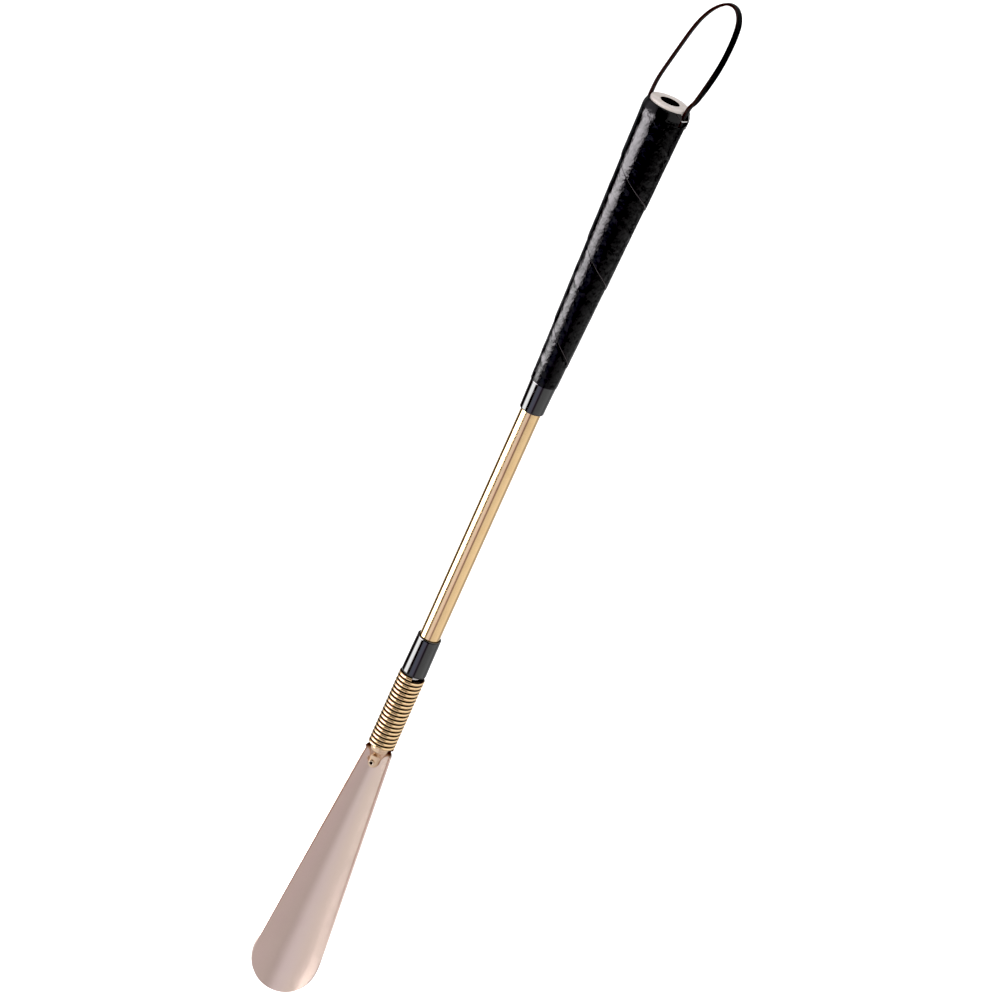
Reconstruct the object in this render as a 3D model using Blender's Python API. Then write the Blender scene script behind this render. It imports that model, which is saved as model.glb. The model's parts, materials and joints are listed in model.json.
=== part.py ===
"""Long shoehorn: sprung blade, brass shaft and strip-wrapped handle with a hanging loop.

The shoehorn lies on its back on a table. +Y runs from the blade's tip to the handle's
end, +Z points up out of the blade's hollow side, and the origin is on the table, halfway
along. Stations along the object are distances in metres from the blade's tip.
"""

from math import asin, cos, pi, radians, sin, sqrt

import bpy
from mathutils import Matrix, Vector

MM = 0.001
GAP = 0.3 * MM                    # clearance left between pieces that touch
LENGTH = 610 * MM
AXIS_HEIGHT = 13.7 * MM           # the shaft's centre line above the table
ROUND_SIDES = 32

# blade: a bent sheet with a round tip, narrowing to two ears at the neck
SHEET = 1.2 * MM
BLADE_END = 186.2 * MM
BLADE_HALF_WIDTH = 20.6 * MM
TIP_LENGTH = 30 * MM
TAPER = 0.08                      # half width lost per length along the straight sides
TIP_ANGLE, EAR_ANGLE = radians(43), radians(50)   # half the trough's arc at each end
REST_STATION = 50 * MM            # where the blade's back touches the table
TIP_LIFT = 0.4 * MM
EAR_RADIUS = 3.5 * MM
BLADE_COLUMNS = 12

# neck: a tube whose lower end is pressed into a tongue that lies in the blade
NECK_RADIUS, NECK_BORE = 5.3 * MM, 4.4 * MM
NECK_TOP, NECK_ROUND = 197.7 * MM, 187.2 * MM
TONGUE_FLAT, TONGUE_TIP, TONGUE_ROUNDING = 176.2 * MM, 170.7 * MM, 2.6 * MM
TONGUE_HALF_WIDTH, TONGUE_HALF_THICK = 3.0 * MM, 0.8 * MM
EYELET_STATION, EYELET_X = 174.2 * MM, -1.0 * MM
EYELET_BORE, EYELET_SHANK, EYELET_FLANGE = 0.9 * MM, 1.25 * MM, 1.75 * MM
FLANGE_THICK = 0.4 * MM

# spring: one close-wound coil, cut into sections at the stations where it bends
WIRE_RADIUS = 1.1 * MM
COIL_RADIUS = 6.9 * MM
COIL_START, COIL_END = 189.7 * MM, 240 * MM
COIL_PITCH = 2.68 * MM
BEND_STATIONS = [232.7 * MM, 221.4 * MM, 210 * MM, 198.7 * MM]
STEPS_PER_TURN = 18

# shaft: brass tube between two black sleeves, with a plug that carries the spring
TUBE_RADIUS, TUBE_BORE = 6.0 * MM, 5.2 * MM
TUBE_START, TUBE_END = 244.2 * MM, 580 * MM
SLEEVE_BORE = TUBE_RADIUS + GAP
LOWER_FERRULE, LOWER_FERRULE_RADII = (241.5 * MM, 266.3 * MM), (7.5 * MM, 7.15 * MM)
UPPER_FERRULE, UPPER_FERRULE_RADII = (418.5 * MM, 436.6 * MM), (7.1 * MM, 7.75 * MM)
MOUTH_CHAMFER = 0.3 * MM           # on the sleeves' outer edges
SPIGOT_END, SPIGOT_RADIUS = 443.9 * MM, 6.95 * MM
PLUG_START, PLUG_END, PLUG_RADIUS = 233.7 * MM, 262 * MM, 5.5 * MM
PLUG_CHAMFER = 0.5 * MM

# handle: tapered core under a wrapped strip, and the thong tucked in at its end
CORE_START, CORE_RADII = 444.3 * MM, (7.0 * MM, 10.7 * MM)
CORE_CHAMFER = 0.4 * MM
CORE_MOUTH, CORE_MOUTH_RADIUS = 586 * MM, 5.4 * MM   # narrower bore beyond the tube
WRAP_START, WRAP_END = 437 * MM, 608 * MM
WRAP_RADII = (7.95 * MM, 13.7 * MM)
WRAP_BORE_START = 7.3 * MM
THONG_WIDTH, THONG_THICK = 3.3 * MM, 1.4 * MM
TWIST = radians(60)               # how far the front leg turns its flat up
TWIST_START, TWIST_END = 0.45, 0.94   # where along the route, as shares of it
REAR_ANGLE, FRONT_ANGLE = radians(200), radians(30)   # about the shaft, from +X to +Z
POCKET_DEPTH, POCKET_WIDTH = 24 * MM, 4.1 * MM
POCKET_RADII = (10.2 * MM, 12.95 * MM)
SLOT_DEPTH, SLOT_WIDTH = 6.5 * MM, 6.2 * MM
STAPLE_WIRE, STAPLE_HALF_SPAN = 0.35 * MM, 2.3 * MM
STAPLE_STATION, STAPLE_CROWN, STAPLE_POINT = 605 * MM, 13.2 * MM, 8.2 * MM
THONG_ROUTE = [                   # x, distance beyond the handle's end, height, in mm
    (-10.67, -22, 9.82), (-11.14, 0, 9.65), (-10.6, 9, 9.0), (-9.0, 18, 8.0),
    (-7.0, 28, 6.6), (-5.0, 37.5, 5.1), (-2.4, 45.8, 3.6), (1.7, 52.9, 2.3),
    (7.0, 57.1, 1.9), (12.3, 56.4, 2.4), (15.9, 51.2, 4.2), (17.1, 43, 6.8),
    (17.0, 33, 10.2), (16.2, 25, 13.2), (14.6, 16, 16.0), (12.5, 7, 18.4),
    (10.26, 0, 19.63), (9.83, -22, 19.38),
]


def material(name, colour, roughness, metallic):
    mat = bpy.data.materials.new(name)
    mat.use_nodes = True
    shader = mat.node_tree.nodes["Principled BSDF"]
    shader.inputs["Base Color"].default_value = (*colour, 1)
    shader.inputs["Roughness"].default_value = roughness
    shader.inputs["Metallic"].default_value = metallic
    return mat


def world_y(station):
    return station - LENGTH / 2


def on_axis(station):
    return Vector((0, world_y(station), AXIS_HEIGHT))


def skin(name, rings, mat, closed=False):
    """Joins rings of equally many points into one solid.

    The ends are closed with a ladder of faces, or the last ring meets the first."""
    count = len(rings[0])
    verts = [point for ring in rings for point in ring]
    faces = []
    for i in range(len(rings) if closed else len(rings) - 1):
        a, b = i * count, (i + 1) % len(rings) * count
        faces += [(a + j, a + (j + 1) % count, b + (j + 1) % count, b + j) for j in range(count)]
    if not closed:
        last = (len(rings) - 1) * count
        for j in range(count // 2 - 1):
            faces.append((j, count - 1 - j, count - 2 - j, j + 1))
            faces.append((last + j, last + j + 1, last + count - 2 - j, last + count - 1 - j))
    mesh = bpy.data.meshes.new(name)
    mesh.from_pydata(verts, [], faces)
    if signed_volume(mesh) < 0:
        mesh.flip_normals()
    mesh.shade_smooth()
    mesh.set_sharp_from_angle(angle=radians(35))
    mesh.materials.append(mat)
    obj = bpy.data.objects.new(name, mesh)
    bpy.context.collection.objects.link(obj)
    return obj


def signed_volume(mesh):
    mesh.calc_loop_triangles()
    corners = [[mesh.vertices[i].co for i in tri.vertices] for tri in mesh.loop_triangles]
    return sum(a.dot(b.cross(c)) for a, b, c in corners) / 6


def circle(radius, height, sides=ROUND_SIDES):
    return [(radius * cos(2 * pi * i / sides), radius * sin(2 * pi * i / sides), height)
            for i in range(sides)]


def turned(name, profile, mat, closed=True):
    """Turns a profile of (radius, station) points about the shaft's centre line."""
    obj = skin(name, [circle(r, station) for r, station in profile], mat, closed)
    lay_on_shaft(obj)
    return obj


def lay_on_shaft(obj):
    """Lays an object modelled along its own Z, from station 0, along the shaft."""
    obj.location = on_axis(0)
    obj.rotation_euler = (-pi / 2, 0, 0)


def swept(name, path, section, across, mat):
    """Sweeps a flat section along a path; across(i) is the section's sideways direction."""
    rings = []
    for i, point in enumerate(path):
        along = (path[min(i + 1, len(path) - 1)] - path[max(i - 1, 0)]).normalized()
        side = across(i)
        side = (side - side.dot(along) * along).normalized()
        out = along.cross(side)
        rings.append([point + u * side + v * out for u, v in section])
    return skin(name, rings, mat)


def cutter(name, rings):
    obj = skin(name, rings, bpy.data.materials[0])
    obj.hide_render = True
    obj.display_type = "WIRE"
    return obj


def cut(obj, tool):
    modifier = obj.modifiers.new(tool.name, "BOOLEAN")
    modifier.operation = "DIFFERENCE"
    modifier.solver = "EXACT"
    modifier.object = tool


def hang_from(obj, hinge):
    """Parents an object to a hinge's empty and leaves it where it is."""
    obj.parent = hinge
    obj.matrix_parent_inverse = Matrix.Translation(-hinge_place(hinge))


def hinge_place(hinge):
    place = Vector(hinge.location)
    while hinge.parent:
        hinge = hinge.parent
        place += hinge.location
    return place


def add_hinges():
    """Makes one empty per bend in the spring, each hung from the one above it."""
    hinges = []
    for number, station in enumerate(BEND_STATIONS, start=1):
        hinge = bpy.data.objects.new(f"bend_{number}", None)
        bpy.context.collection.objects.link(hinge)
        if hinges:
            hinge.parent = hinges[-1]
            hinge.location = on_axis(station) - on_axis(BEND_STATIONS[number - 2])
        else:
            hinge.location = on_axis(station)
        hinges.append(hinge)
    return hinges


def back_height(station):
    """Height of the blade's back along its middle: flat at the rest, rising both ways."""
    neck_lift = AXIS_HEIGHT - NECK_RADIUS - GAP - SHEET
    if station > REST_STATION:
        return neck_lift * ((station - REST_STATION) / (BLADE_END - REST_STATION)) ** 2
    return TIP_LIFT * ((REST_STATION - station) / REST_STATION) ** 2


def blade_outline(station):
    """Half width and half arc angle of the trough at a station."""
    line_start = TIP_LENGTH * (1 + TAPER * TIP_LENGTH / BLADE_HALF_WIDTH)
    share = max(0.0, (station - line_start) / (BLADE_END - line_start))
    arc_angle = TIP_ANGLE + (EAR_ANGLE - TIP_ANGLE) * share
    if station > line_start:
        return BLADE_HALF_WIDTH - TAPER * (station - line_start), arc_angle
    reach = 1 - station / TIP_LENGTH
    half_width = BLADE_HALF_WIDTH * sqrt(1 - reach * reach)
    return half_width, asin(half_width / BLADE_HALF_WIDTH * sin(TIP_ANGLE))


def make_blade(mat):
    tip = [TIP_LENGTH * (1 - cos(radians(angle))) for angle in (4, 12, 22, 34, 47, 61, 76, 92)]
    straight_end = BLADE_END - EAR_RADIUS
    straight = [tip[-1] + (straight_end - tip[-1]) * i / 11 for i in range(1, 12)]
    ears = [straight_end + EAR_RADIUS * sin(radians(angle)) for angle in (30, 55, 75, 88)]
    rings = []
    for station in tip + straight + ears:
        half_width, angle = blade_outline(station)
        radius = half_width / sin(angle)
        into_ear = max(0.0, station - straight_end) / EAR_RADIUS
        angle -= EAR_RADIUS / radius * (1 - sqrt(1 - into_ear**2))
        turns = [angle * (2 * i / BLADE_COLUMNS - 1) for i in range(BLADE_COLUMNS + 1)]
        centre = back_height(station) + radius
        inside, outside = [
            [(r * sin(a), world_y(station), centre - r * cos(a)) for a in turns]
            for r in (radius - SHEET, radius)
        ]
        rings.append(inside + outside[::-1])
    return skin("blade", rings, mat)


def make_neck(mat):
    """Round tube above, pressed flatter and narrower towards the tongue's round tip."""
    round_start = TONGUE_TIP + TONGUE_ROUNDING
    stations = [NECK_TOP, NECK_ROUND]
    stations += [NECK_ROUND + (TONGUE_FLAT - NECK_ROUND) * i / 7 for i in range(1, 8)]
    stations += [round_start - TONGUE_ROUNDING * sin(radians(a)) for a in (0, 30, 55, 75)]
    rings = []
    for station in stations:
        pressed = min(1.0, max(0.0, (NECK_ROUND - station) / (NECK_ROUND - TONGUE_FLAT)))
        half_width = NECK_RADIUS + (TONGUE_HALF_WIDTH - NECK_RADIUS) * pressed
        half_thick = TONGUE_HALF_THICK + (NECK_RADIUS - TONGUE_HALF_THICK) * (1 - pressed) ** 1.6
        into_tip = max(0.0, round_start - station) / TONGUE_ROUNDING
        half_width *= sqrt(1 - into_tip**2)
        seat = back_height(min(station, BLADE_END)) + SHEET + GAP
        centre = AXIS_HEIGHT if station >= NECK_ROUND else seat + half_thick
        rings.append([(half_width * cos(a), world_y(station), centre + half_thick * sin(a))
                      for a in [2 * pi * i / 20 for i in range(20)]])
    neck = skin("neck_tube", rings, mat)
    bore = cutter("neck_bore_cutter", [circle(NECK_BORE, z) for z in (NECK_ROUND, LENGTH / 3)])
    lay_on_shaft(bore)
    cut(neck, bore)
    return neck, bore


def make_eyelet(mat, blade, neck):
    """Hollow rivet through the tongue and the blade, square to the blade's slope."""
    slope = (back_height(EYELET_STATION + MM) - back_height(EYELET_STATION)) / MM
    foot = Vector((EYELET_X, world_y(EYELET_STATION), back_height(EYELET_STATION)))
    under, over = -GAP, SHEET + 2 * GAP + 2 * TONGUE_HALF_THICK
    profile = [
        (EYELET_BORE, under - FLANGE_THICK), (EYELET_FLANGE, under - FLANGE_THICK),
        (EYELET_FLANGE, under), (EYELET_SHANK, under), (EYELET_SHANK, over),
        (EYELET_FLANGE, over), (EYELET_FLANGE, over + FLANGE_THICK),
        (EYELET_BORE, over + FLANGE_THICK),
    ]
    eyelet = skin("neck_rivet", [circle(r, z, 16) for r, z in profile], mat, closed=True)
    hole = cutter("rivet_hole_cutter",
                  [circle(EYELET_SHANK + GAP, z, 16) for z in (-3 * MM, 5 * MM)])
    for obj in (eyelet, hole):
        obj.location = foot
        obj.rotation_euler = (slope, 0, 0)
    cut(blade, hole)
    cut(neck, hole)
    return eyelet, hole


def make_spring(mat, hinges):
    """One helix, parted at the bends; each part hangs from the bend above it."""
    gap_angle = GAP / 2 / COIL_RADIUS
    cuts = [COIL_END, *BEND_STATIONS, COIL_START]
    for number, (high, low) in enumerate(zip(cuts, cuts[1:]), start=1):
        first = 2 * pi * (low - COIL_START) / COIL_PITCH + gap_angle
        last = 2 * pi * (high - COIL_START) / COIL_PITCH - gap_angle
        steps = round((last - first) / (2 * pi) * STEPS_PER_TURN)
        rings = []
        for i in range(steps + 1):
            turn = first + (last - first) * i / steps
            rings.append([])
            for k in range(6):
                out = COIL_RADIUS + WIRE_RADIUS * cos(pi * k / 3)
                station = COIL_START + COIL_PITCH * turn / (2 * pi) + WIRE_RADIUS * sin(pi * k / 3)
                rings[-1].append((out * cos(turn), out * sin(turn), station))
        section = skin(f"spring_turns_{number}", rings, mat)
        lay_on_shaft(section)
        if number > 1:
            hang_from(section, hinges[number - 2])


def make_shaft(brass, plastic, steel):
    turned("shaft_tube", [(TUBE_BORE, TUBE_START), (TUBE_RADIUS, TUBE_START),
                          (TUBE_RADIUS, TUBE_END), (TUBE_BORE, TUBE_END)], brass)
    (low, high), (wide, narrow) = LOWER_FERRULE, LOWER_FERRULE_RADII
    turned("lower_ferrule", [
        (SLEEVE_BORE, low), (wide - MOUTH_CHAMFER, low), (wide, low + MOUTH_CHAMFER),
        (narrow, high - MOUTH_CHAMFER), (narrow - MOUTH_CHAMFER, high),
        (SLEEVE_BORE, high)], plastic)
    (low, high), (narrow, wide) = UPPER_FERRULE, UPPER_FERRULE_RADII
    turned("upper_ferrule", [
        (SLEEVE_BORE, low), (narrow - MOUTH_CHAMFER, low), (narrow, low + MOUTH_CHAMFER),
        (wide, high), (SPIGOT_RADIUS, high), (SPIGOT_RADIUS, SPIGOT_END),
        (SLEEVE_BORE, SPIGOT_END)], plastic)
    shoulder, inner = TUBE_START - GAP, TUBE_BORE - GAP
    turned("spring_plug", [
        (PLUG_RADIUS - PLUG_CHAMFER, PLUG_START), (PLUG_RADIUS, PLUG_START + PLUG_CHAMFER),
        (PLUG_RADIUS, shoulder), (inner, shoulder), (inner, PLUG_END)], steel, closed=False)


def core_radius(station):
    share = (station - CORE_START) / (LENGTH - CORE_START)
    return CORE_RADII[0] + (CORE_RADII[1] - CORE_RADII[0]) * share


def box_rings(width, length, low, high):
    """A box from y = -length to y = 0, between two heights."""
    corners = [(-width / 2, low), (width / 2, low), (width / 2, high), (-width / 2, high)]
    return [[(x, y, z) for x, z in corners] for y in (-length, 0)]


def face_outward(obj, angle, station, lean=0.0):
    """Turns an object so its Z points away from the shaft at an angle, leaning with the core."""
    obj.location = on_axis(station)
    obj.rotation_euler = (lean, pi / 2 - angle, 0)


def make_handle(core_mat, leather):
    core = turned("handle_core", [
        (SLEEVE_BORE, CORE_START), (CORE_RADII[0], CORE_START),
        (core_radius(LENGTH - CORE_CHAMFER), LENGTH - CORE_CHAMFER),
        (CORE_RADII[1] - CORE_CHAMFER, LENGTH), (CORE_MOUTH_RADIUS, LENGTH),
        (CORE_MOUTH_RADIUS, CORE_MOUTH), (SLEEVE_BORE, CORE_MOUTH)], core_mat)
    wrap = turned("handle_wrap", [
        (WRAP_BORE_START, WRAP_START), (WRAP_RADII[0], WRAP_START),
        (WRAP_RADII[1], WRAP_END), (core_radius(WRAP_END) + GAP, WRAP_END),
        (WRAP_BORE_START, CORE_START)], leather)
    lean = (CORE_RADII[1] - CORE_RADII[0]) / (LENGTH - CORE_START)
    for side, angle in (("rear", REAR_ANGLE), ("front", FRONT_ANGLE)):
        pocket = cutter(f"{side}_pocket_cutter",
                        box_rings(POCKET_WIDTH, POCKET_DEPTH + 2 * MM, *POCKET_RADII))
        face_outward(pocket, angle, LENGTH, lean)
        cut(wrap, pocket)
    slot = cutter("staple_slot_cutter",
                  box_rings(SLOT_WIDTH, SLOT_DEPTH + 2 * MM, POCKET_RADII[0], 15 * MM))
    face_outward(slot, FRONT_ANGLE, LENGTH)
    cut(wrap, slot)
    return core


def make_staple(mat, core):
    """A wire staple over the thong's front end, its legs sunk into the core."""
    bend = 0.8 * MM
    straight = STAPLE_HALF_SPAN - bend
    corner = [(straight + bend * cos(a), STAPLE_CROWN - bend + bend * sin(a))
              for a in (0, pi / 6, pi / 3, pi / 2)]
    right = [(STAPLE_HALF_SPAN, STAPLE_POINT), *corner]
    path = [Vector((x, 0, z)) for x, z in right]
    path += [Vector((-x, 0, z)) for x, z in reversed(right)]
    section = [(STAPLE_WIRE * cos(pi * k / 4), STAPLE_WIRE * sin(pi * k / 4)) for k in range(8)]
    staple = swept("loop_staple", path, section, lambda i: Vector((0, 1, 0)), mat)
    face_outward(staple, FRONT_ANGLE, STAPLE_STATION)
    for number, x in enumerate((-STAPLE_HALF_SPAN, STAPLE_HALF_SPAN), start=1):
        rings = [[(x + px, py, z) for px, py, _ in circle(STAPLE_WIRE + GAP, 0, 8)]
                 for z in (STAPLE_POINT - GAP, STAPLE_CROWN)]
        hole = cutter(f"staple_hole_cutter_{number}", rings)
        face_outward(hole, FRONT_ANGLE, STAPLE_STATION)
        cut(core, hole)


def smooth_route(points, steps):
    """Catmull-Rom curve through the points."""
    ends = [2 * points[0] - points[1], *points, 2 * points[-1] - points[-2]]
    path = []
    for a, b, c, d in zip(ends, ends[1:], ends[2:], ends[3:]):
        for i in range(steps):
            t = i / steps
            path.append(0.5 * (2 * b + (c - a) * t + (2 * a - 5 * b + 4 * c - d) * t**2
                               + (3 * b - a - 3 * c + d) * t**3))
    return path + [points[-1]]


def make_thong(mat):
    """Flat thong from pocket to pocket; its front leg twists to show its flat on top."""
    route = [Vector((x * MM, world_y(LENGTH) + beyond * MM, height * MM))
             for x, beyond, height in THONG_ROUTE]
    path = smooth_route(route, 4)
    roll_start, roll_end = REAR_ANGLE - pi, FRONT_ANGLE

    def across(i):
        share = i / (len(path) - 1)
        roll = roll_start + (roll_end - roll_start) * share
        into_twist = (share - TWIST_START) / (TWIST_END - TWIST_START)
        if 0 < into_twist < 1:
            roll += TWIST * sin(pi * into_twist) ** 2
        return Vector((-sin(roll), 0, cos(roll)))

    w, t = THONG_WIDTH / 2, THONG_THICK / 2
    swept("hang_loop", path, [(-w, -t), (w, -t), (w, t), (-w, t)], across, mat)


def main():
    for obj in list(bpy.data.objects):
        bpy.data.objects.remove(obj, do_unlink=True)
    blade_metal = material("satin_blade", (0.63, 0.49, 0.43), 0.32, 1.0)
    brass = material("polished_brass", (0.80, 0.56, 0.30), 0.12, 1.0)
    plastic = material("black_plastic", (0.012, 0.012, 0.013), 0.2, 0.0)
    steel = material("plated_steel", (0.6, 0.6, 0.6), 0.25, 1.0)
    core_mat = material("pale_core", (0.62, 0.50, 0.40), 0.6, 0.0)
    leather = material("black_leather", (0.014, 0.013, 0.014), 0.38, 0.0)

    hinges = add_hinges()
    blade = make_blade(blade_metal)
    neck, bore = make_neck(brass)
    eyelet, hole = make_eyelet(steel, blade, neck)
    for obj in (blade, neck, bore, eyelet, hole):
        hang_from(obj, hinges[-1])
    make_spring(brass, hinges)
    make_shaft(brass, plastic, steel)
    core = make_handle(core_mat, leather)
    make_staple(steel, core)
    make_thong(leather)


main()
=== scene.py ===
"""Long shoehorn: the finished surfaces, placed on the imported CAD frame.

+Y runs from the blade's tip to the handle's end and +Z up out of the blade's hollow.
Stations are distances in metres from the blade's tip; angles about the shaft run from
+X, on the right, to +Z, on top.
"""

import json
from math import asin, cos, pi, radians, sin, sqrt

import bmesh
import bpy
from mathutils import Matrix, Vector, noise


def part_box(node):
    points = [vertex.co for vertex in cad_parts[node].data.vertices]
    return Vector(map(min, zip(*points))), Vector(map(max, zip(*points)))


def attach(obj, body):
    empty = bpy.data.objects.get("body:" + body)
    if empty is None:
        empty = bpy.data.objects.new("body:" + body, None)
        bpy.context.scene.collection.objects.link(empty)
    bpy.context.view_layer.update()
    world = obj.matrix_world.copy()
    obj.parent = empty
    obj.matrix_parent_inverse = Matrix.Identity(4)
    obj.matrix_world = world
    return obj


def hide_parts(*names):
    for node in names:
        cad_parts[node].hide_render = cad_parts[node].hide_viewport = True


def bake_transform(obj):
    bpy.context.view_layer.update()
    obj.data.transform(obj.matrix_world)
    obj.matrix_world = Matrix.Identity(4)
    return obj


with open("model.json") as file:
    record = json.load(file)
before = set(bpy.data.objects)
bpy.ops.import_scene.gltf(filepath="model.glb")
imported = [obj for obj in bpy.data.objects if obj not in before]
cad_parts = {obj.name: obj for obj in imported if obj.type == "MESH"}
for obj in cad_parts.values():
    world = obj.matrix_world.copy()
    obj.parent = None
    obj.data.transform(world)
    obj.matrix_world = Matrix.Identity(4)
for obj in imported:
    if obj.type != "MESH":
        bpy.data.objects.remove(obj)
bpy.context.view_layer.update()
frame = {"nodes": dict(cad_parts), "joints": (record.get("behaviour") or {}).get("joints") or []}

MM = 0.001

# places read from the frame
BLADE_LOW, BLADE_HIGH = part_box("blade")
TUBE_LOW, TUBE_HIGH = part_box("shaft_tube")
CORE_LOW, CORE_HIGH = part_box("handle_core")
WRAP_LOW, WRAP_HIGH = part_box("handle_wrap")
NECK_LOW, NECK_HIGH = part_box("neck_tube")
TIP_Y, END_Y = BLADE_LOW.y, CORE_HIGH.y
AXIS_HEIGHT = (TUBE_LOW.z + TUBE_HIGH.z) / 2
LENGTH = END_Y - TIP_Y


def station_of(y):
    return y - TIP_Y


def world_y(station):
    return TIP_Y + station


def on_axis(station):
    return Vector((0, world_y(station), AXIS_HEIGHT))


def off_axis(station, radius, angle):
    return on_axis(station) + radius * Vector((cos(angle), 0, sin(angle)))


# takes Z onto the shaft's line, with zero at the blade's tip
ON_SHAFT = Matrix.Translation(on_axis(0)) @ Matrix.Rotation(-pi / 2, 4, "X")

# blade
SHEET, RIM_ROUNDING = 1.2 * MM, 0.42 * MM
BLADE_END = station_of(BLADE_HIGH.y)
BLADE_HALF_WIDTH = BLADE_HIGH.x
TIP_LENGTH, TAPER = 30 * MM, 0.08
TIP_ANGLE, EAR_ANGLE = radians(43), radians(50)
REST_STATION, TIP_LIFT = 50 * MM, 0.4 * MM
EAR_RADIUS, EAR_REFLECTION_SPAN = 3.5 * MM, 5 * MM    # the span of the painted dark reflection on the ears, below the spring
BLADE_COLUMNS, TIP_ROWS, STRAIGHT_ROWS = 32, 26, 36

# neck
NECK_RADIUS, NECK_BORE = NECK_HIGH.x, 4.4 * MM
NECK_TOP, NECK_ROUND = station_of(NECK_HIGH.y), 187.2 * MM
TONGUE_FLAT, TONGUE_TIP, TONGUE_ROUNDING = 176.2 * MM, station_of(NECK_LOW.y), 2.6 * MM
TONGUE_HALF_WIDTH, TONGUE_HALF_THICK = 3.0 * MM, 0.8 * MM
SEAT_GAP, NECK_SIDES, PRESSED_ROWS = 0.3 * MM, 48, 18
EYELET_STATION, EYELET_X = 174.2 * MM, -1.0 * MM
EYELET_BORE, EYELET_SHANK, EYELET_FLANGE = 0.9 * MM, 1.25 * MM, 1.75 * MM
EYELET_GAP, EYELET_PLAY, FLANGE_THICK = 0.3 * MM, 0.6 * MM, 0.4 * MM

# spring
WIRE_RADIUS, COIL_RADIUS = 1.2 * MM, 6.85 * MM
COIL_START, COIL_END = 189.7 * MM, 240 * MM
COIL_PITCH = 2.68 * MM
COIL_STEPS, WIRE_SIDES = 60, 24   # to the turn, and around the wire
GROOVE_UNSHADED, GROOVE_FADE = 0.87, 0.21    # cosine round the wire where the painted shade between turns starts, its span
BENDS = [("handle", "spring_upper"), ("spring_upper", "spring_middle"),
         ("spring_middle", "spring_lower"), ("spring_lower", "blade")]
BEND_STATIONS = [station_of(joint["pos_m"][1]) for joint in frame["joints"]]

# shaft
TUBE_BORE = 5.2 * MM
SLEEVE_BORE, LOWER_SLEEVE_RADII = 6.15 * MM, (7.5 * MM, 7.1 * MM)
UPPER_SLEEVE_RADII = (7.1 * MM, 7.55 * MM)
SHOULDER, SHOULDER_INNER = 436.6 * MM, 6.95 * MM   # where the upper sleeve goes under the wrap

# handle
WRAP_START, WRAP_END = station_of(WRAP_LOW.y), station_of(WRAP_HIGH.y)
WRAP_RADII = (7.75 * MM, WRAP_HIGH.x - 0.55 * MM)
WRAP_BORE = 0.3 * MM              # how far the wrap's bore stands off the core
WRAP_COLUMNS, STRIP_TURNS = 144, range(-2, 5)
STRIP_PITCH, STRIP_STEP = 50 * MM, 0.5 * MM
STRIP_ROWS = [                    # distances up the strip, in mm, close where it steps
    0, 0.12, 0.4, 0.9, 1.8, 3, 4.5, 6.5, 9, 12, 15, 18, 21, 24, 26.5, 28.5, 29.6, 30.3, 31,
    31.7, 32.4, 33.5, 35.5, 38, 41, 44, 46.5, 48.3, 49.3, 49.85]
SEAM_UNDER, SEAM_EDGE, SEAM_LIP = 0.12 * MM, 0.16 * MM, 0.08 * MM   # the groove's depths
SEAM_HIGHLIGHT, SEAM_START, SEAM_END = 0.12 * MM, 0.2 * MM, 49.2 * MM    # where the painted highlight on the edge ends, and the groove's places, up the strip
RIDGE_PLACE, RIDGE_WIDTH, RIDGE_HEIGHT = 31 * MM, 1.6 * MM, 0.14 * MM
WOBBLE_HEIGHT, WOBBLE_PER_METRE = 0.10 * MM, 45
START_LAP, START_BORE = 0.8 * MM, 7.2 * MM    # how the strip's start lies over the sleeve
START_SLANT, START_PRESS = 0.3 * MM, 0.05 * MM
RIM_LENGTH, RIM_ROLL = 4.5 * MM, 1.3 * MM   # how the strip turns in at the handle's end
RIM_PATH = [                      # share of the way in to the bore, mm beyond the strip's end
    (0.16, -0.1), (0.4, 0.32), (0.62, 0.45), (0.8, 0.4), (0.93, 0.1), (1.0, -0.5), (1.0, -5.0)]
FIRST_SEAM = 449.5 * MM           # where the first overlap crosses the right side
CORE_BORE, MOUTH_BORE, MOUTH_START = 6.3 * MM, 5.4 * MM, 586 * MM
CORE_RADII = (7.0 * MM, CORE_HIGH.x)
CORE_START = station_of(CORE_LOW.y)

# hanging thong
THONG_WIDTH, THONG_THICK, THONG_ROUNDING = 3.3 * MM, 1.4 * MM, 0.28 * MM
TWIST = radians(60)               # how far the front leg turns its flat up
TWIST_START, TWIST_END = 0.45, 0.94   # where along the route, as shares of it
REAR_ANGLE, FRONT_ANGLE = radians(200), radians(30)
THONG_ROUTE = [                   # x, distance beyond the handle's end, height, in mm
    (-10.67, -22, 9.82), (-11.14, 0, 9.65), (-10.6, 9, 9.0), (-9.0, 18, 8.0),
    (-7.0, 28, 6.6), (-5.0, 37.5, 5.1), (-2.4, 45.8, 3.6), (1.7, 52.9, 2.3),
    (7.0, 57.1, 1.9), (12.3, 56.4, 2.4), (15.9, 51.2, 4.2), (17.1, 43, 6.8),
    (17.0, 33, 10.2), (16.2, 25, 13.2), (14.6, 16, 16.0), (12.5, 7, 18.4),
    (10.26, 0, 19.63), (9.83, -22, 19.38),
]
SLOT_DEPTH, SLOT_WIDTH, SLOT_RADII = 6.5 * MM, 6.2 * MM, (10.2 * MM, 16 * MM)
STAPLE_WIRE, STAPLE_HALF_SPAN = 0.35 * MM, 2.3 * MM
STAPLE_STATION, STAPLE_CROWN, STAPLE_POINT = 605 * MM, 13.2 * MM, 10.0 * MM
STAPLE_BEND = 0.8 * MM

# camera: a long lens, leaning towards the handle's end and rolled
LENS, DISTANCE = 120, 1.849
LEAN, ROLL = radians(24), radians(24.25)
TARGET = Vector((4.5 * MM, END_Y - 248.7 * MM, AXIS_HEIGHT))
BLACK_POINT = 0.014               # radiance shown as black

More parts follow.
